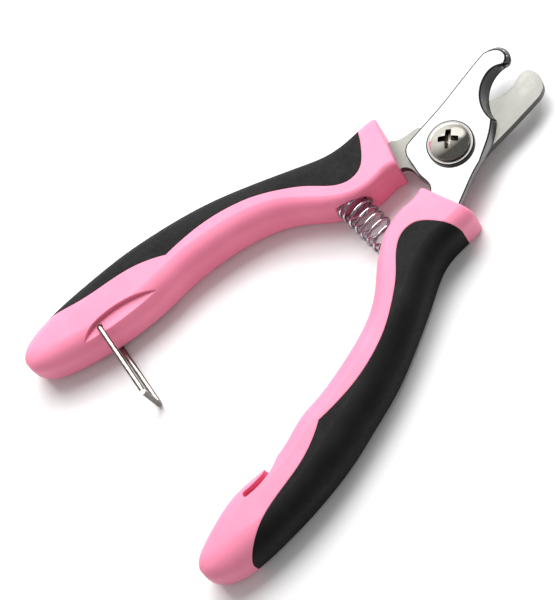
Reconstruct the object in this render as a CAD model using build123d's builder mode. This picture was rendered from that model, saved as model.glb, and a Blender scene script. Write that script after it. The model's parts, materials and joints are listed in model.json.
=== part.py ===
from build123d import *
import os
from math import cos, radians, sin

# Scissor nail clipper for pets, in millimetres.
# The origin is on the pivot axis, in the plane of the flat rear faces that the clipper rests on. +Z points
# out of the screw head, +Y towards the blade tips and +X towards the right handle. The clipper lies open,
# held apart by its spring. Outline points are (x, y) on the right half; the left half mirrors them.
# Heights are drawn from the plane where the two blades meet, and the last lines stand the parts on Z = 0.

os.makedirs("parts", exist_ok=True)

RIGHT = 1
LEFT = -1

# Handles
handle_thickness = 11.0
half_thickness = handle_thickness / 2
face_trim = 0.03
grip_wall = 2.2
smallest_corner = 0.3
rear_corner_share = 0.55
head_edge_radius = 0.5
beyond_handle = 60.0

# Cross-sections from the flat top of the head to the rounded end:
# (inner point, outer point, share of the full thickness, radius of the front corner at the inner side, and
# at the outer side)
head_sections = {
    LEFT: [
        ((3.75, -11.6), (16.1, -7.45), 1.0, 1.4, 1.8),
        ((4.35, -17.0), (16.9, -13.6), 1.0, 1.6, 2.1),
        ((5.5, -23.5), (17.9, -20.1), 1.0, 1.9, 2.5),
        ((8.9, -29.2), (20.5, -24.9), 1.0, 2.9, 3.8),
    ],
    RIGHT: [
        ((3.75, -11.6), (16.1, -7.45), 1.0, 1.4, 3.6),
        ((4.35, -17.0), (16.9, -13.6), 1.0, 1.6, 4.1),
        ((5.5, -23.5), (17.9, -20.1), 1.0, 1.9, 4.2),
        ((8.9, -29.2), (20.5, -24.9), 1.0, 2.9, 4.4),
    ],
}
middle_sections = [
    ((13.0, -33.9), (23.6, -30.2), 1.0, 3.7, 4.8),
    ((17.0, -40.4), (27.4, -37.4), 1.0, 4.2, 5.5),
    ((20.1, -50.5), (31.7, -47.5), 1.0, 4.4, 5.7),
]
lower_sections = {
    LEFT: [
        ((21.4, -60.5), (34.8, -58.0), 1.0, 4.5, 5.9),
        ((21.35, -70.0), (36.9, -68.5), 1.0, 4.6, 6.0),
        ((22.15, -79.0), (37.85, -78.0), 1.0, 4.7, 6.1),
        ((23.7, -86.5), (38.3, -85.8), 1.0, 4.8, 6.2),
        ((26.0, -93.8), (38.0, -93.5), 0.97, 4.8, 6.2),
        ((28.2, -98.1), (36.4, -98.0), 0.84, 3.3, 4.3),
        ((30.6, -100.4), (34.0, -100.4), 0.45, 1.3, 1.7),
    ],
    RIGHT: [
        ((21.8, -60.2), (34.8, -58.0), 1.0, 4.4, 5.7),
        ((23.0, -66.0), (36.4, -64.6), 1.0, 4.2, 5.5),
        ((25.0, -72.6), (37.4, -71.6), 1.0, 3.8, 4.9),
        ((25.1, -79.0), (37.95, -78.2), 1.0, 3.6, 4.7),
        ((25.0, -86.3), (38.3, -85.8), 1.0, 4.2, 5.5),
        ((26.9, -93.8), (38.0, -93.5), 0.97, 4.6, 6.0),
        ((29.0, -98.1), (36.4, -98.0), 0.84, 3.0, 3.9),
        ((31.1, -100.4), (34.2, -100.4), 0.45, 1.2, 1.55),
    ],
}

# Edge of the soft grip on the face of the handle: down to the cusp, then down to the outer side
grip_upper_edge = [
    (19.7, -11.0), (15.6, -12.5), (11.8, -14.9), (9.2, -17.8), (8.9, -21.2), (10.8, -24.6), (14.8, -28.3),
    (18.8, -33.0), (22.1, -38.0), (24.5, -43.5), (26.1, -49.5), (26.8, -55.5), (26.9, -61.1),
]
grip_lower_edge = [
    (26.9, -61.1), (29.0, -64.7), (30.8, -69.2), (32.2, -75.5), (33.6, -81.8), (36.0, -87.6), (40.0, -94.4),
]

# Blades: the outline runs up the outer edge, round the tip to the beak, and down the inner edge.
# The front blade's points are on the right half. The rear blade shares its neck, mirrored, and its
# cutting edge, mirrored and turned about the pivot by the lean.
blade_thickness = 2.0
blade_gap = 0.02
blade_lean = {RIGHT: 0.0, LEFT: 18.5}
outer_edge_points = {
    RIGHT: [(-7.3, -6.6), (-8.0, 0.0), (-8.5, 5.0), (-9.3, 10.0), (-10.1, 15.0), (-10.65, 19.4)],
    LEFT: [(7.3, -6.6), (6.8, -1.0), (6.2, 5.0), (6.0, 10.0), (5.75, 15.0), (5.4, 19.6)],
}
tip_points = {
    RIGHT: [(-10.65, 19.4), (-10.5, 21.3), (-9.5, 22.7), (-7.9, 23.4), (-6.2, 23.1), (-5.0, 21.9), (-5.1, 20.7)],
    LEFT: [(5.4, 19.6), (5.05, 21.6), (4.1, 23.1), (2.5, 24.0), (0.7, 24.2), (-0.95, 23.6), (-1.7, 21.9)],
}
beak_point = (-5.15, 20.5)
shoulder_points = [(2.5, 10.8), (4.3, 8.8), (5.7, 6.7), (6.8, 4.3), (7.6, 1.8)]
neck_points = [(8.5, -1.0), (10.0, -4.5), (11.6, -8.0)]
tang_points = [(11.6, -8.0), (12.4, -13.0), (12.8, -27.5), (9.4, -27.0), (8.6, -19.5), (5.4, -12.0), (4.9, -10.6)]
bottom_points = [(4.9, -10.6), (3.2, -9.5), (0.5, -9.5), (-2.5, -9.0), (-5.8, -8.2), (-7.3, -6.6)]

# Ground faces of a blade: a low edge where the blades meet and a high edge on the outer face
cutting_edge = [(-5.15, 20.5), (-4.95, 17.0), (-3.35, 14.0), (-0.65, 11.7), (1.3, 10.8)]
notch_rim = [(-4.4, 21.0), (-6.5, 18.0), (-5.6, 14.3), (-3.0, 11.4), (2.0, 9.9)]
shoulder_low = [(2.4, 11.0), (4.4, 8.9), (5.8, 6.8), (6.9, 4.4), (8.3, 1.2)]
shoulder_high = [(1.2, 10.9), (3.5, 8.5), (4.8, 6.7), (6.0, 4.6), (7.7, 1.5)]
notch_far = [(14.0, 10.4), (14.0, 20.8)]
shoulder_far = [(14.0, 1.3), (14.0, 11.0)]
tip_low = [(-10.95, 18.4), (-10.6, 21.4), (-9.55, 22.85), (-7.9, 23.5), (-6.1, 23.2), (-4.9, 22.0), (-4.9, 20.6)]
tip_high = [(-10.85, 18.6), (-10.0, 20.8), (-9.2, 21.8), (-7.9, 22.4), (-6.6, 22.2), (-5.7, 21.3), (-5.3, 20.3)]
tip_far = [(0.0, 30.0), (-16.0, 30.0), (-16.0, 18.5)]
tip_bevel = 1.0

# Pivot stack along Z
pivot_radius = 2.0
pivot_clearance = 0.05
blade_face = blade_gap / 2 + blade_thickness
washer_radius = 5.3
washer_hole_radius = 2.15
washer_thickness = 0.8
washer_edge = 0.15
washer_gap = 0.03
front_washer_top = blade_face + washer_thickness
rear_washer_top = -blade_face - washer_gap
rear_washer_bottom = rear_washer_top - washer_thickness
screw_head_radius = 4.4
screw_head_rim = 0.7
screw_head_height = 2.3
screw_end_chamfer = 0.4
recess_length = 4.6
recess_width = 1.3
recess_depth = 1.8
recess_taper = 10
recess_turn = 45
nut_across_flats = 7.0
nut_bottom = -half_thickness
nut_thickness = rear_washer_bottom - nut_bottom
nut_chamfer = 0.4
thread_clearance = 0.02

# Return spring, along X between the heads
spring_y = -24.1
spring_radius = 3.35
spring_wire_radius = 0.35
spring_turns = 8
spring_half_length = 7.2
pocket_clearance = 0.35
pocket_bottom = 7.75

# Latch loop on the left handle
latch_wire_radius = 0.6
latch_pivot = (-25.8, -82.5)
latch_length = 19.7
latch_angle = -6.3
latch_bend = 0.8
latch_leg_z = half_thickness - latch_wire_radius
latch_hole_clearance = 0.08
latch_end_gap = 0.1
latch_leg_clearance = 0.05
recess_floor = latch_leg_z - latch_wire_radius - latch_leg_clearance
recess_wall = [(-19.0, -64.4), (-22.2, -67.2), (-25.2, -72.4), (-26.9, -79.0), (-26.8, -84.2), (-24.2, -89.0)]
recess_open_x = -10.0

# Hook on the right handle, that the loop closes over: a finger with a slot beside it
slot_wall = [(25.4, -72.4), (27.3, -75.0), (28.2, -78.4), (28.2, -82.6)]
slot_bottom = (27.5, -83.3)
finger_wall = [(26.8, -82.6), (26.9, -80.0), (26.7, -77.4)]
finger_tip = (26.3, -76.5)
finger_top_y = -76.4
hook_open_x = 15.0


def on_side(side, points):
    """Outline points on the given half."""
    return [(side * x, y) for x, y in points]


def leaned(side, points):
    """Points on the given half, turned about the pivot by that blade's lean."""
    angle = radians(blade_lean[side])
    return [
        (x * cos(angle) - y * sin(angle), x * sin(angle) + y * cos(angle)) for x, y in on_side(side, points)
    ]


def section_plane(inner, outer):
    """Upright plane through both points, with its X towards the outer point and its Y upwards."""
    middle = ((inner[0] + outer[0]) / 2, (inner[1] + outer[1]) / 2, 0)
    across = Vector(outer[0] - inner[0], outer[1] - inner[1], 0)
    return Plane(origin=middle, x_dir=across, z_dir=across.cross(Vector(0, 0, 1)))


def handle_form(side, wall=0.0):
    """Outer shape of one handle; a wall makes the smaller form that lies that far under its surface."""
    sections = head_sections[side] + middle_sections + lower_sections[side]
    if wall > 0:
        sections = sections[:-1]
    with BuildPart() as form:
        for inner, outer, share, inner_radius, outer_radius in sections:
            width = (Vector(*outer) - Vector(*inner)).length - 2 * wall
            height = handle_thickness * share + 2 * (face_trim - wall)
            with BuildSketch(section_plane(*on_side(side, [inner, outer]))) as section:
                Rectangle(width, height)
                rear_corners = section.vertices().group_by(Axis.Y)[0]
                fillet(rear_corners, max(inner_radius * rear_corner_share - wall, smallest_corner))
                inner_corner = section.vertices().group_by(Axis.Y)[-1].sort_by(Axis.X)[0]
                fillet(inner_corner, max(inner_radius - wall, smallest_corner))
                outer_corner = section.vertices().group_by(Axis.Y)[-1].sort_by(Axis.X)[-1]
                fillet(outer_corner, max(outer_radius - wall, smallest_corner))
        loft()
        if wall == 0:
            Box(4 * beyond_handle, 4 * beyond_handle, handle_thickness, mode=Mode.INTERSECT)
            fillet(form.faces().sort_by(Axis.Y)[-1].edges(), head_edge_radius)
    return form.part


def grip_zone(side):
    """Upright block that holds everything outside the edge of the grip."""
    with BuildPart() as zone:
        with BuildSketch(Plane.XY.offset(-handle_thickness)):
            with BuildLine():
                upper = Spline(*on_side(side, grip_upper_edge))
                lower = Spline(*on_side(side, grip_lower_edge))
                far_x = side * beyond_handle
                Polyline(lower @ 1, (far_x, (lower @ 1).Y), (far_x, (upper @ 0).Y), upper @ 0)
            make_face()
        extrude(amount=2 * handle_thickness)
    return zone.part


def spring_pockets():
    """Cylinder along X that hollows a seat for the return spring in both heads."""
    with BuildPart() as pockets:
        with BuildSketch(Plane.YZ.offset(-pocket_bottom)):
            with Locations((spring_y, 0)):
                Circle(spring_radius + spring_wire_radius + pocket_clearance)
        extrude(amount=2 * pocket_bottom)
    return pockets.part


def blade_outline(side):
    """Flat outline of one blade with its tang, in the plane where the blades meet."""
    with BuildSketch(Plane.XY.offset(side * blade_gap / 2)) as outline:
        with BuildLine():
            outer_edge = Spline(*outer_edge_points[side])
            tip = Spline(*tip_points[side])
            inner_edge = Spline(*leaned(side, shoulder_points), *on_side(side, neck_points))
            Polyline(tip @ 1, *leaned(side, [beak_point]), inner_edge @ 0)
            Polyline(*on_side(side, tang_points))
            Spline(*on_side(side, bottom_points))
        make_face()
    return outline.sketch


def ground_away(side, low_edge, high_edge, far_points, low_height=0.0):
    """What grinding takes off one blade: beyond the low edge, which lies at the low height above the
    plane where the blades meet, and beyond the high edge, which lies on the blade's outer face."""
    with BuildPart() as waste:
        for z, edge in ((side * (blade_gap / 2 + low_height), low_edge), (side * blade_face, high_edge)):
            with BuildSketch(Plane.XY.offset(z)):
                with BuildLine():
                    curve = Spline(*leaned(side, edge))
                    Polyline(curve @ 1, *leaned(side, far_points), curve @ 0)
                make_face()
        loft(ruled=True)
    return waste.part


# Blades: hardened plates that turn on the screw, each with a tang that its handle is moulded around
with BuildPart() as front_blade:
    add(blade_outline(RIGHT))
    extrude(amount=blade_thickness)
    add(ground_away(RIGHT, cutting_edge, notch_rim, notch_far), mode=Mode.SUBTRACT)
    add(ground_away(RIGHT, shoulder_low, shoulder_high, shoulder_far), mode=Mode.SUBTRACT)
    add(ground_away(RIGHT, tip_low, tip_high, tip_far, blade_thickness - tip_bevel), mode=Mode.SUBTRACT)
    Hole(pivot_radius + pivot_clearance)

with BuildPart() as rear_blade:
    add(blade_outline(LEFT))
    extrude(amount=-blade_thickness)
    add(ground_away(LEFT, cutting_edge, notch_rim, notch_far), mode=Mode.SUBTRACT)
    add(ground_away(LEFT, shoulder_low, shoulder_high, shoulder_far), mode=Mode.SUBTRACT)
    Hole(pivot_radius + pivot_clearance)

# Soft grips: a skin that wraps the outer side of each handle, front and back
right_form = handle_form(RIGHT)
left_form = handle_form(LEFT)

with BuildPart() as right_grip:
    add(right_form)
    add(grip_zone(RIGHT), mode=Mode.INTERSECT)
    add(handle_form(RIGHT, grip_wall), mode=Mode.SUBTRACT)

with BuildPart() as left_grip:
    add(left_form)
    add(grip_zone(LEFT), mode=Mode.INTERSECT)
    add(handle_form(LEFT, grip_wall), mode=Mode.SUBTRACT)

# Hard cores: what is left of each handle, with room for the tang and the spring
pockets = spring_pockets()

with BuildPart() as right_handle_core:
    add(right_form)
    add(right_grip.part, mode=Mode.SUBTRACT)
    add(front_blade.part, mode=Mode.SUBTRACT)
    add(pockets, mode=Mode.SUBTRACT)
    with BuildSketch():
        with BuildLine():
            wall = Spline(*slot_wall)
            finger = Spline(*finger_wall)
            ThreePointArc(wall @ 1, slot_bottom, finger @ 0)
            Polyline(
                finger @ 1,
                finger_tip,
                (hook_open_x, finger_top_y),
                (hook_open_x, (wall @ 0).Y),
                wall @ 0,
            )
        make_face()
    extrude(amount=handle_thickness, both=True, mode=Mode.SUBTRACT)

with BuildPart() as left_handle_core:
    add(left_form)
    add(left_grip.part, mode=Mode.SUBTRACT)
    add(rear_blade.part, mode=Mode.SUBTRACT)
    add(pockets, mode=Mode.SUBTRACT)
    for face in (RIGHT, LEFT):
        with BuildSketch(Plane.XY.offset(face * recess_floor)):
            with BuildLine():
                wall_line = Spline(*recess_wall)
                Polyline(
                    wall_line @ 1,
                    (recess_open_x, (wall_line @ 1).Y),
                    (recess_open_x, (wall_line @ 0).Y),
                    wall_line @ 0,
                )
            make_face()
        extrude(amount=face * half_thickness, mode=Mode.SUBTRACT)
    with Locations((*latch_pivot, 0)):
        Hole(latch_wire_radius + latch_hole_clearance)

# Pivot screw: a pan head with a cross recess on a plain shank that ends flush with the nut
with BuildPart() as pivot_screw:
    with BuildSketch(Plane.XZ):
        with BuildLine():
            head_top = front_washer_top + screw_head_height
            rim_top = front_washer_top + screw_head_rim
            Polyline(
                (0, head_top),
                (0, nut_bottom),
                (pivot_radius - screw_end_chamfer, nut_bottom),
                (pivot_radius, nut_bottom + screw_end_chamfer),
                (pivot_radius, front_washer_top),
                (screw_head_radius, front_washer_top),
                (screw_head_radius, rim_top),
            )
            TangentArc((0, head_top), (screw_head_radius, rim_top), tangent=(1, 0))
        make_face()
    revolve(axis=Axis.Z)
    with BuildSketch(Plane.XY.offset(head_top)):
        Rectangle(recess_length, recess_width, rotation=recess_turn)
        Rectangle(recess_length, recess_width, rotation=-recess_turn)
    extrude(amount=-recess_depth, taper=recess_taper, mode=Mode.SUBTRACT)

with BuildPart() as front_washer:
    with BuildSketch(Plane.XY.offset(blade_face)):
        Circle(washer_radius)
        Circle(washer_hole_radius, mode=Mode.SUBTRACT)
    extrude(amount=washer_thickness)
    chamfer(front_washer.edges().group_by(Axis.Z)[-1].sort_by(SortBy.LENGTH)[-1], washer_edge)

with BuildPart() as rear_washer:
    with BuildSketch(Plane.XY.offset(rear_washer_top)):
        Circle(washer_radius)
        Circle(washer_hole_radius, mode=Mode.SUBTRACT)
    extrude(amount=-washer_thickness)
    chamfer(rear_washer.edges().group_by(Axis.Z)[0].sort_by(SortBy.LENGTH)[-1], washer_edge)

# Lock nut: hexagon with its rear corners turned off
nut_corner_radius = nut_across_flats / 2 / cos(radians(30))

with BuildPart() as lock_nut:
    with BuildSketch(Plane.XY.offset(nut_bottom)):
        RegularPolygon(nut_across_flats / 2, 6, major_radius=False)
    extrude(amount=nut_thickness)
    with BuildSketch(Plane.XZ):
        Polygon(
            (0, nut_bottom),
            (nut_corner_radius - nut_chamfer, nut_bottom),
            (nut_corner_radius, nut_bottom + nut_chamfer),
            (nut_corner_radius, rear_washer_bottom),
            (0, rear_washer_bottom),
            align=None,
        )
    revolve(axis=Axis.Z, mode=Mode.INTERSECT)
    Hole(pivot_radius + thread_clearance)

# Return spring: open coils of round wire
with BuildPart() as return_spring:
    with BuildLine():
        coil = Helix(
            pitch=2 * spring_half_length / spring_turns,
            height=2 * spring_half_length,
            radius=spring_radius,
            center=(-spring_half_length, spring_y, 0),
            direction=(1, 0, 0),
        )
    with BuildSketch(Plane(origin=coil @ 0, z_dir=coil % 0)):
        Circle(spring_wire_radius)
    sweep(path=coil, is_frenet=True)

# Latch loop: one bent wire, whose front leg ends beside the cut end of the cross bar
with BuildPart() as latch_loop:
    along = Vector(cos(radians(latch_angle)), sin(radians(latch_angle)), 0)
    with BuildLine(Plane(origin=(*latch_pivot, 0), x_dir=along, z_dir=along.cross(Vector(0, 0, 1)))):
        bent_wire = FilletPolyline(
            (latch_length, half_thickness),
            (latch_length, -latch_leg_z),
            (0, -latch_leg_z),
            (0, latch_leg_z),
            (latch_length - latch_wire_radius - latch_end_gap, latch_leg_z),
            radius=latch_bend,
        )
    with BuildSketch(Plane(origin=bent_wire @ 0, z_dir=bent_wire % 0)):
        Circle(latch_wire_radius)
    sweep(path=bent_wire)

nodes = {
    "front_blade": front_blade,
    "rear_blade": rear_blade,
    "right_handle_core": right_handle_core,
    "left_handle_core": left_handle_core,
    "right_grip": right_grip,
    "left_grip": left_grip,
    "pivot_screw": pivot_screw,
    "front_washer": front_washer,
    "rear_washer": rear_washer,
    "lock_nut": lock_nut,
    "return_spring": return_spring,
    "latch_loop": latch_loop,
}
for name, node in nodes.items():
    placed = Pos(0, 0, half_thickness) * node.part
    placed.label = name
    export_step(placed, f"parts/{name}.step")
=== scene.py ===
"""Looks of the scissor nail clipper: polished and brushed steel blades, pink moulded handles with black soft
grips, a screw pivot, a coil return spring and a wire latch loop. It lies open on a white table, and two
softboxes light it from above and the left."""

import json
import math

import bmesh
import bpy
from mathutils import Matrix, Vector


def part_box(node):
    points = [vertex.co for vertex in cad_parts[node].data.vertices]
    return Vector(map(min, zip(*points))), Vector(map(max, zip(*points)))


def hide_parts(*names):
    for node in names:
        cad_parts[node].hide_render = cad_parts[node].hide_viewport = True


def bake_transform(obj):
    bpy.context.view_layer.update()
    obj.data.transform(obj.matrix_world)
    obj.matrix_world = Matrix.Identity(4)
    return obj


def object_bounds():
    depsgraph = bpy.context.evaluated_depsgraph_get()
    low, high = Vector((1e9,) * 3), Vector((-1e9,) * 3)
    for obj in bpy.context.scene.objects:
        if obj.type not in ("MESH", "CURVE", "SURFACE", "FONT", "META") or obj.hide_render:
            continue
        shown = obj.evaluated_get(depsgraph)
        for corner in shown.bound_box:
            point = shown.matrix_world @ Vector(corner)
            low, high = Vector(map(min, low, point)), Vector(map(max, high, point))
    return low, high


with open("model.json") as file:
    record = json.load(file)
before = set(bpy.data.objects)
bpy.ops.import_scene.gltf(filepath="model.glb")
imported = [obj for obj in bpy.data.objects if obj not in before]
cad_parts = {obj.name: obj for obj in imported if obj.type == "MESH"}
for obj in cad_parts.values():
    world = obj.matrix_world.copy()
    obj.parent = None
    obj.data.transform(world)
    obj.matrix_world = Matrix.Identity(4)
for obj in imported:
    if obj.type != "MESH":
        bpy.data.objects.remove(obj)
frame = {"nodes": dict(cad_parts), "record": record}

cad_low, cad_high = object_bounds()
nodes = frame["nodes"]
MM = 0.001


# ---------------------------------------------------------------- materials

class Look:
    """A procedural material: a principled shader and the nodes that drive it. Lengths are in millimetres and
    noise frequencies are per millimetre."""

    def __init__(self, name, metallic=0.0, specular=0.5):
        self.material = bpy.data.materials.new(name)
        self.material.use_nodes = True
        self.tree = self.material.node_tree
        self.shader = self.tree.nodes["Principled BSDF"]
        self.shader.inputs["Metallic"].default_value = metallic
        self.shader.inputs["Specular IOR Level"].default_value = specular
        place = self.node("ShaderNodeTexCoord").outputs["Object"]
        self.place = self.scaled(place, (1 / MM, 1 / MM, 1 / MM))

    def node(self, kind, **settings):
        made = self.tree.nodes.new(kind)
        for key, value in settings.items():
            setattr(made, key, value)
        return made

    def link(self, source, target):
        """Feeds a socket from another socket, or sets it to a plain value."""
        if isinstance(source, bpy.types.NodeSocket):
            self.tree.links.new(source, target)
        else:
            target.default_value = source

    def scaled(self, vector, scale, turn_deg=0.0):
        """Scales a place and then turns it about Z."""
        mapping = self.node("ShaderNodeMapping")
        self.link(vector, mapping.inputs["Vector"])
        mapping.inputs["Scale"].default_value = scale
        mapping.inputs["Rotation"].default_value = (0, 0, math.radians(turn_deg))
        return mapping.outputs["Vector"]

    def noise(self, per_mm, detail, place=None, rough=0.55):
        made = self.node("ShaderNodeTexNoise")
        self.link(self.place if place is None else place, made.inputs["Vector"])
        made.inputs["Scale"].default_value = per_mm
        made.inputs["Detail"].default_value = detail
        made.inputs["Roughness"].default_value = rough
        return made.outputs["Fac"]

    def cells(self, per_mm):
        made = self.node("ShaderNodeTexVoronoi", feature="F1")
        self.link(self.place, made.inputs["Vector"])
        made.inputs["Scale"].default_value = per_mm
        return made.outputs["Distance"]

    def span(self, value, low, high, start=0.0, stop=1.0):
        """Maps low..high of a value to start..stop, clamped."""
        made = self.node("ShaderNodeMapRange", clamp=True)
        self.link(value, made.inputs["Value"])
        made.inputs["From Min"].default_value = low
        made.inputs["From Max"].default_value = high
        made.inputs["To Min"].default_value = start
        made.inputs["To Max"].default_value = stop
        return made.outputs["Result"]

    def maths(self, operation, a, b=0.0):
        made = self.node("ShaderNodeMath", operation=operation)
        self.link(a, made.inputs[0])
        self.link(b, made.inputs[1])
        return made.outputs["Value"]

    def mix(self, share, a, b):
        """Colour a where the share is 0, colour b where it is 1."""
        made = self.node("ShaderNodeMix", data_type="RGBA")
        self.link(share, made.inputs["Factor"])
        for value, socket in ((a, made.inputs[6]), (b, made.inputs[7])):
            self.link(value if isinstance(value, bpy.types.NodeSocket) else (*value, 1.0), socket)
        return made.outputs[2]

    def clouded(self, per_mm, detail, a, b, low=0.35, high=0.65):
        """Soft patches of two colours: a where the noise is under low, b where it is over high."""
        return self.mix(self.span(self.noise(per_mm, detail), low, high), a, b)

    def tinted(self, body, where, by, colour):
        """Takes a body colour the given share of the way to another colour, where the mask is 1."""
        return self.mix(self.maths("MULTIPLY", where, by), body, colour)

    def edges(self, radius_mm):
        """1 on a sharp edge, falling to 0 one radius away from it. The limits are cosines of the angle
        between the face and a rounded edge."""
        same, well_turned = 1.0, 0.75
        bevel = self.node("ShaderNodeBevel", samples=6)
        bevel.inputs["Radius"].default_value = radius_mm * MM
        geometry = self.node("ShaderNodeNewGeometry")
        agree = self.node("ShaderNodeVectorMath", operation="DOT_PRODUCT")
        self.link(bevel.outputs["Normal"], agree.inputs[0])
        self.link(geometry.outputs["Normal"], agree.inputs[1])
        return self.span(agree.outputs["Value"], same, well_turned)

    def sloping(self):
        """1 on ground faces and walls, 0 on faces that lie level. The limits are the normal's upward part."""
        level, steep = 0.97, 0.88
        parts = self.node("ShaderNodeSeparateXYZ")
        self.link(self.node("ShaderNodeTexCoord").outputs["Normal"], parts.inputs["Vector"])
        return self.span(self.maths("ABSOLUTE", parts.outputs["Z"]), level, steep)

    def hollows(self, reach_mm):
        """1 deep in a recess, 0 out in the open."""
        open_air, enclosed = 0.85, 0.45
        shade = self.node("ShaderNodeAmbientOcclusion", samples=8)
        shade.inputs["Distance"].default_value = reach_mm * MM
        return self.span(shade.outputs["AO"], open_air, enclosed)

    def turned_away(self, low, high):
        """0 where the surface faces the eye, 1 where it turns away."""
        weight = self.node("ShaderNodeLayerWeight")
        weight.inputs["Blend"].default_value = 0.5
        return self.span(weight.outputs["Facing"], low, high)

    def rings(self, per_mm):
        """Ripples round the pivot axis, from -1 to 1."""
        parts = self.node("ShaderNodeSeparateXYZ")
        self.link(self.place, parts.inputs["Vector"])
        across = self.maths("POWER", parts.outputs["X"], 2.0)
        along = self.maths("POWER", parts.outputs["Y"], 2.0)
        radius = self.maths("SQRT", self.maths("ADD", across, along))
        return self.maths("SINE", self.maths("MULTIPLY", radius, 2 * math.pi * per_mm))

    def bump(self, height, depth_mm, strength, soften_mm=0.0):
        """Adds a layer of relief over what is already there. The first layer can also round the shading of
        the edges that lie under it."""
        made = self.node("ShaderNodeBump")
        made.inputs["Strength"].default_value = strength
        made.inputs["Distance"].default_value = depth_mm * MM
        self.link(height, made.inputs["Height"])
        before = self.shader.inputs["Normal"].links
        if before:
            self.link(before[0].from_socket, made.inputs["Normal"])
        elif soften_mm:
            bevel = self.node("ShaderNodeBevel", samples=6)
            bevel.inputs["Radius"].default_value = soften_mm * MM
            self.link(bevel.outputs["Normal"], made.inputs["Normal"])
        self.link(made.outputs["Normal"], self.shader.inputs["Normal"])

    def colour(self, value):
        self.link(value, self.shader.inputs["Base Color"])

    def roughness(self, value):
        self.link(value, self.shader.inputs["Roughness"])

    def patchy_roughness(self, per_mm, detail, smooth, rough):
        """Roughness that wanders between two values, over the range where most of the noise lies."""
        noise_low, noise_high = 0.3, 0.7
        self.roughness(self.span(self.noise(per_mm, detail), noise_low, noise_high, smooth, rough))


def handle_plastic():
    """Satin pink moulding with a fine tool texture and a painted highlight on its edges."""
    look = Look("handle_plastic", specular=0.25)
    pink, light_pink, edge_sheen_pink = (0.84, 0.235, 0.365), (0.88, 0.265, 0.40), (0.93, 0.46, 0.60)
    body = look.clouded(0.09, 4, pink, light_pink)
    # Painted highlight: the edges are tinted towards a paler pink for the sheen they catch.
    look.colour(look.tinted(body, where=look.edges(0.25), by=0.25, colour=edge_sheen_pink))
    look.patchy_roughness(0.6, 4, smooth=0.40, rough=0.50)
    look.bump(look.noise(per_mm=7.0, detail=4), depth_mm=0.012, strength=0.35, soften_mm=0.45)
    look.bump(look.noise(per_mm=0.35, detail=2), depth_mm=0.05, strength=0.10)
    return look.material


def grip_rubber():
    """Matte black rubber with a pebbled grain and a painted sheen that makes its edges greyer."""
    look = Look("grip_rubber", specular=0.14)
    black, soft_black, edge_sheen_grey = (0.0055, 0.0058, 0.0055), (0.0095, 0.0098, 0.0095), (0.03, 0.03, 0.03)
    body = look.clouded(0.15, 4, black, soft_black)
    # Painted sheen: the edges are tinted towards grey.
    look.colour(look.tinted(body, where=look.edges(0.3), by=0.3, colour=edge_sheen_grey))
    look.patchy_roughness(1.2, 3, smooth=0.58, rough=0.74)
    look.bump(look.cells(3.2), depth_mm=0.03, strength=0.35, soften_mm=0.25)
    look.bump(look.noise(per_mm=9.0, detail=3), depth_mm=0.012, strength=0.4)
    return look.material


def steel(name, bright, dark, rough, wall_shade_colour, pattern_deg, streak, streak_depth_mm):
    """Metal with fine straight polishing lines along Y, and painted shade on ground faces and walls, for the
    dark surroundings they reflect. Turning the noise pattern gives each blade lines of its own."""
    look = Look(name, metallic=1.0)
    lines_across, lines_along, lines_deep = 9.0, 0.22, 1.0
    stain_low, stain_high = 0.4, 0.8
    polish_low, polish_high = 0.1, 0.45
    wall_roughness = 0.42
    grain = look.scaled(look.place, (lines_across, lines_along, lines_deep), pattern_deg)
    lines = look.noise(per_mm=1.0, detail=5, place=grain, rough=0.7)
    cloud = look.noise(per_mm=0.12, detail=4)
    stains = look.maths("ADD", look.maths("MULTIPLY", lines, streak), cloud)
    stains = look.span(stains, stain_low, stain_high)
    wall = look.sloping()
    # Painted shade: ground faces and walls take the wall shade colour.
    look.colour(look.mix(wall, look.mix(stains, bright, dark), wall_shade_colour))
    face_rough = look.span(look.maths("MULTIPLY", lines, cloud), polish_low, polish_high, *rough)
    wall_rough = look.maths("MULTIPLY", wall, wall_roughness)
    look.roughness(look.maths("MAXIMUM", face_rough, wall_rough))
    look.bump(lines, streak_depth_mm, strength=0.5, soften_mm=0.12)
    return look.material


def turned_steel(name, bright, dark, rough, ring_strength=0.0):
    """Metal turned on a lathe, with brown painted shade in its hollows and painted dark lines on its edges.
    """
    look = Look(name, metallic=1.0)
    rings_per_mm = 6.048
    hollow_shade, edge_shade = (0.10, 0.065, 0.045), (0.03, 0.028, 0.025)
    body = look.clouded(0.5, 4, bright, dark, high=0.7)
    # Painted shade: the colour turns brown deep in the recesses.
    body = look.tinted(body, where=look.hollows(1.2), by=0.9, colour=hollow_shade)
    # Painted shade: the edges darken for the dim surroundings they reflect.
    look.colour(look.tinted(body, where=look.edges(0.2), by=0.8, colour=edge_shade))
    look.patchy_roughness(2.2, 4, *rough)
    look.bump(look.noise(per_mm=5.0, detail=3), depth_mm=0.003, strength=0.25, soften_mm=0.12)
    if ring_strength:
        look.bump(look.rings(rings_per_mm), depth_mm=0.004, strength=ring_strength)
    return look.material


def wire(name, bright, dark, rim, rough):
    """Drawn wire: bright with darker stains, and painted shade where its sides turn away."""
    look = Look(name, metallic=1.0)
    body = look.clouded(0.9, 4, bright, dark, low=0.38, high=0.66)
    # Painted shade: the sides that turn away from the eye take the dark rim colour.
    look.colour(look.mix(look.turned_away(0.30, 0.72), body, rim))
    look.patchy_roughness(3.0, 4, *rough)
    look.bump(look.noise(per_mm=6.0, detail=4), depth_mm=0.006, strength=0.35)
    return look.material


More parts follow.
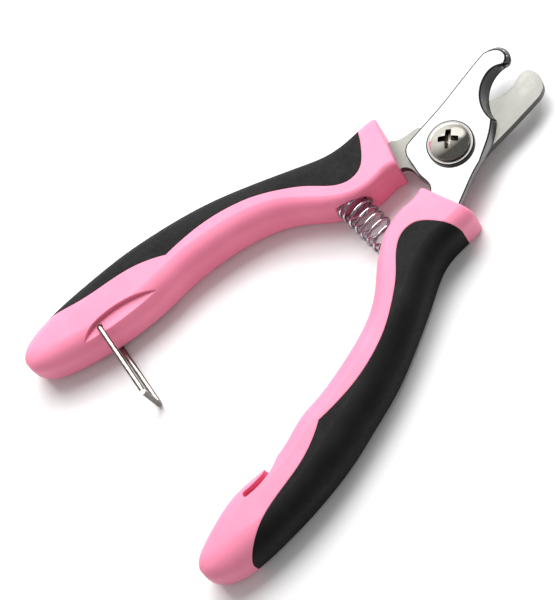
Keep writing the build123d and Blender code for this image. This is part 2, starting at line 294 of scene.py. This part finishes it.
def painted_edge_shade():
    """Painted shade: the dark line that a polished edge shows where it turns away from the light."""
    look = Look("painted_edge_shade", specular=0.2)
    dark_grey, near_black = (0.035, 0.035, 0.036), (0.008, 0.008, 0.009)
    look.colour(look.clouded(1.4, 3, dark_grey, near_black, low=0.3, high=0.7))
    look.patchy_roughness(4.0, 3, smooth=0.30, rough=0.45)
    look.bump(look.noise(per_mm=6.0, detail=3), depth_mm=0.004, strength=0.3)
    return look.material


looks = {
    "handle_plastic": handle_plastic(),
    "grip_rubber": grip_rubber(),
    "polished_steel": steel(
        "polished_steel",
        bright=(0.95, 0.95, 0.94),
        dark=(0.90, 0.90, 0.89),
        rough=(0.05, 0.13),
        wall_shade_colour=(0.26, 0.26, 0.265),
        pattern_deg=12,
        streak=0.25,
        streak_depth_mm=0.0015,
    ),
    "brushed_steel": steel(
        "brushed_steel",
        bright=(0.245, 0.243, 0.224),
        dark=(0.165, 0.163, 0.150),
        rough=(0.44, 0.60),
        wall_shade_colour=(0.11, 0.11, 0.105),
        pattern_deg=-12,
        streak=0.7,
        streak_depth_mm=0.004,
    ),
    "plated_steel": turned_steel(
        "plated_steel",
        bright=(0.84, 0.81, 0.73),
        dark=(0.72, 0.69, 0.61),
        rough=(0.06, 0.15),
    ),
    "washer_steel": turned_steel(
        "washer_steel",
        bright=(0.78, 0.77, 0.75),
        dark=(0.64, 0.63, 0.61),
        rough=(0.14, 0.28),
        ring_strength=0.3,
    ),
    "spring_steel": wire(
        "spring_steel",
        bright=(0.72, 0.72, 0.75),
        dark=(0.36, 0.33, 0.38),
        rim=(0.03, 0.02, 0.035),
        rough=(0.10, 0.22),
    ),
    "latch_wire": wire(
        "latch_wire",
        bright=(0.36, 0.335, 0.30),
        dark=(0.18, 0.16, 0.14),
        rim=(0.014, 0.010, 0.008),
        rough=(0.16, 0.28),
    ),
}

slots = {row["node"]: row["material_slot"] for row in frame["record"]["subparts"]}
for name, obj in nodes.items():
    obj.data.materials.clear()
    obj.data.materials.append(looks[slots[name]])


# ---------------------------------------------------------------- painted dark edge lines

def draw_edge_line(obj, material, width_mm):
    """Gives a narrow band along each sharp edge its own material, a painted dark line of shade. A bevel with
    a full profile keeps the corner where it is and only divides the faces beside it. The weld closes the mesh
    first, and the dissolve joins its flat faces, so that the band runs along whole edges."""
    closing_gap = 0.0005 * MM
    flat_within, sharp_beyond = math.radians(1), math.radians(28)
    obj.data.materials.append(material)
    weld = obj.modifiers.new("weld", "WELD")
    weld.merge_threshold = closing_gap
    flats = obj.modifiers.new("flats", "DECIMATE")
    flats.decimate_type = "DISSOLVE"
    flats.angle_limit = flat_within
    band = obj.modifiers.new("edge_line", "BEVEL")
    band.width = width_mm * MM
    band.segments = 2
    band.profile = 1.0
    band.limit_method = "ANGLE"
    band.angle_limit = sharp_beyond
    band.material = len(obj.data.materials) - 1
    # Clamping would narrow every band to suit the shortest edge, and with loop slide on the front blade's
    # band touches the rear blade as they turn.
    band.use_clamp_overlap = False
    band.loop_slide = False


edge_shade_material = painted_edge_shade()
# Painted shade: dark lines along the sharp edges of the front blade and the front washer.
draw_edge_line(nodes["front_blade"], edge_shade_material, width_mm=0.24)
draw_edge_line(nodes["front_washer"], edge_shade_material, width_mm=0.13)


# ---------------------------------------------------------------- return spring

def add_mesh(name, mesh):
    """Puts a finished bmesh into the scene as an object."""
    data = bpy.data.meshes.new(name)
    mesh.to_mesh(data)
    mesh.free()
    obj = bpy.data.objects.new(name, data)
    bpy.context.scene.collection.objects.link(obj)
    return obj


def coil(name, low, high, turns, wire_radius, closed_turns):
    """Round wire wound along X from end to end of the given box and as wide as its height. The end turns lie
    closed, the rest are evenly open, and all of them are a little uneven."""
    sides, steps_per_turn = 14, 44
    unevenness, uneven_phase_per_turn, off_axis = 0.012, 1.7, 0.02
    middle_y, middle_z = (low.y + high.y) / 2, (low.z + high.z) / 2
    wound = (high.z - low.z) / 2 - wire_radius
    start, length = low.x + wire_radius, high.x - low.x - 2 * wire_radius
    closed_pitch = 2.1 * wire_radius  # the wire's own width and a small gap
    open_pitch = (length - 2 * closed_turns * closed_pitch) / (turns - 2 * closed_turns)
    count = int(turns * steps_per_turn)

    def centre(i):
        """Middle of the wire at the given step."""
        t = turns * i / count
        head = min(t, closed_turns)
        tail = max(0.0, t - (turns - closed_turns))
        travel = (head + tail) * closed_pitch + (t - head - tail) * open_pitch
        angle = 2 * math.pi * t
        reach = wound * (1 + unevenness * math.sin(uneven_phase_per_turn * t))
        return Vector((
            start + travel,
            middle_y + reach * (math.cos(angle) - off_axis),
            middle_z + wound * (1 - unevenness) * math.sin(angle),
        ))

    mesh = bmesh.new()
    rings = []
    for i in range(count + 1):
        point = centre(i)
        ahead = (centre(min(i + 1, count)) - centre(max(i - 1, 0))).normalized()
        outward = Vector((0, point.y - middle_y, point.z - middle_z)).normalized()
        outward = (outward - ahead * outward.dot(ahead)).normalized()
        sideways = ahead.cross(outward)
        ring = []
        for k in range(sides):
            a = 2 * math.pi * k / sides
            rim = (outward * math.cos(a) + sideways * math.sin(a)) * wire_radius
            ring.append(mesh.verts.new(point + rim))
        rings.append(ring)
    for before, after in zip(rings, rings[1:]):
        for k in range(sides):
            mesh.faces.new((before[k], before[(k + 1) % sides], after[(k + 1) % sides], after[k]))
    mesh.faces.new(list(reversed(rings[0])))
    mesh.faces.new(rings[-1])
    bmesh.ops.recalc_face_normals(mesh, faces=mesh.faces)
    obj = add_mesh(name, mesh)
    obj.data.polygons.foreach_set("use_smooth", [True] * len(obj.data.polygons))
    return obj


# The coil is wound in the box of the modelled spring, which it replaces.
spring_low, spring_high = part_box("return_spring")
spring = coil("return_coil", spring_low, spring_high, turns=8.25, wire_radius=0.35 * MM, closed_turns=0.9)
spring.data.materials.append(looks["spring_steel"])
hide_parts("return_spring")
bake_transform(spring)


# ---------------------------------------------------------------- table, light and camera

def table_top(z):
    """White table that goes well beyond the picture on every side."""
    mesh = bmesh.new()
    bmesh.ops.create_grid(mesh, x_segments=24, y_segments=24, size=1.6)
    obj = add_mesh("table_top", mesh)
    obj.location = (0, -0.04, z)
    look = Look("table_white", specular=0.15)
    look.colour(look.mix(look.noise(per_mm=0.02, detail=3), (0.84, 0.84, 0.84), (0.87, 0.87, 0.865)))
    look.patchy_roughness(0.5, 3, smooth=0.55, rough=0.65)
    obj.data.materials.append(look.material)


# Directions from the clipper to the softboxes.
KEY = Vector((-0.60, 0.12, 0.79)).normalized()
RIM = Vector((-0.42, 0.66, 0.60)).normalized()

# The softboxes don't light the mirror-bright pieces. Those reflect plain white patches of the surroundings in
# the same directions instead, so that the fine dark lines beside a reflection aren't washed out.
mirrors = bpy.data.collections.new("mirrors")
for name in ("front_blade", "front_washer", "pivot_screw"):
    mirrors.objects.link(nodes[name])
for member in mirrors.collection_objects:
    member.light_linking.link_state = "EXCLUDE"


def softbox(name, towards, size, watts):
    """Rectangular light in the given direction from the clipper, facing it."""
    distance = 0.62
    lit_point = Vector((0, -0.03, (cad_low.z + cad_high.z) / 2))
    data = bpy.data.lights.new(name, "AREA")
    data.shape = "RECTANGLE"
    data.size, data.size_y = size
    data.energy = watts
    obj = bpy.data.objects.new(name, data)
    obj.location = lit_point + towards * distance
    obj.rotation_mode = "QUATERNION"
    obj.rotation_quaternion = towards.to_track_quat("Z", "Y")
    obj.visible_camera = False
    obj.light_linking.receiver_collection = mirrors
    bpy.context.scene.collection.objects.link(obj)


def studio_world():
    """Surroundings in three versions: in reflections they are dim, brighten towards the left and hold a patch
    for each softbox, they give matte surfaces an even fill light, and the camera sees them plain white."""
    softbox_glow, fill_light, backdrop = 1.25, 0.42, 1.0
    world = bpy.data.worlds.new("studio")
    bpy.context.scene.world = world
    world.use_nodes = True
    tree = world.node_tree
    background = tree.nodes["Background"]
    background.inputs["Color"].default_value = (1, 1, 1, 1)
    direction = tree.nodes.new("ShaderNodeTexCoord").outputs["Generated"]
    path = tree.nodes.new("ShaderNodeLightPath")

    def patch(towards, edge, centre, bright, dim=0.0):
        """Strength that rises from dim to bright as the direction turns towards the given one. The edge and
        the centre of the rise are cosines of the angle between the two."""
        agree = tree.nodes.new("ShaderNodeVectorMath")
        agree.operation = "DOT_PRODUCT"
        agree.inputs[1].default_value = towards
        tree.links.new(direction, agree.inputs[0])
        rise = tree.nodes.new("ShaderNodeMapRange")
        tree.links.new(agree.outputs["Value"], rise.inputs["Value"])
        rise.inputs["From Min"].default_value = edge
        rise.inputs["From Max"].default_value = centre
        rise.inputs["To Min"].default_value = dim
        rise.inputs["To Max"].default_value = bright
        return rise.outputs["Result"]

    def stronger(a, b):
        most = tree.nodes.new("ShaderNodeMath")
        most.operation = "MAXIMUM"
        tree.links.new(a, most.inputs[0])
        tree.links.new(b, most.inputs[1])
        return most.outputs["Value"]

    def unless(ray_kind, strength, other_strength):
        """The first strength, but the other one for rays of the given kind."""
        choice = tree.nodes.new("ShaderNodeMix")
        tree.links.new(path.outputs[ray_kind], choice.inputs["Factor"])
        tree.links.new(strength, choice.inputs["A"])
        choice.inputs["B"].default_value = other_strength
        return choice.outputs["Result"]

    key_patch = patch(KEY, edge=0.90, centre=0.95, bright=softbox_glow)
    rim_patch = patch(RIM, edge=0.86, centre=0.94, bright=softbox_glow)
    left = Vector((-0.85, 0.10, 0.50)).normalized()
    left_glow = patch(left, edge=0.3, centre=0.95, bright=0.95, dim=0.10)
    reflected = stronger(left_glow, stronger(key_patch, rim_patch))
    strength = unless("Is Camera Ray", unless("Is Diffuse Ray", reflected, fill_light), backdrop)
    tree.links.new(strength, background.inputs["Strength"])


def photo_camera():
    """Camera over the clipper's right side, turned so that the blades point to the upper right."""
    eye = Vector((0.18302, -0.05096, 0.37139))
    heading, tilt, roll = (math.radians(angle) for angle in (89.69, 26.879, -43.323))
    camera = bpy.data.objects.new("camera", bpy.data.cameras.new("camera"))
    camera.data.lens = 113.68
    camera.data.clip_start = 0.01
    camera.matrix_world = (
        Matrix.Translation(eye)
        @ Matrix.Rotation(heading, 4, "Z")
        @ Matrix.Rotation(tilt, 4, "X")
        @ Matrix.Rotation(roll, 4, "Z")
    )
    bpy.context.scene.collection.objects.link(camera)
    bpy.context.scene.camera = camera


TABLE_GAP = 0.02 * MM
table_top(cad_low.z - TABLE_GAP)
studio_world()
softbox("key", KEY, size=(0.46, 0.48), watts=4.9)
softbox("rim", RIM, size=(0.30, 0.30), watts=2.4)
photo_camera()
bpy.context.scene.view_settings.view_transform = "Standard"
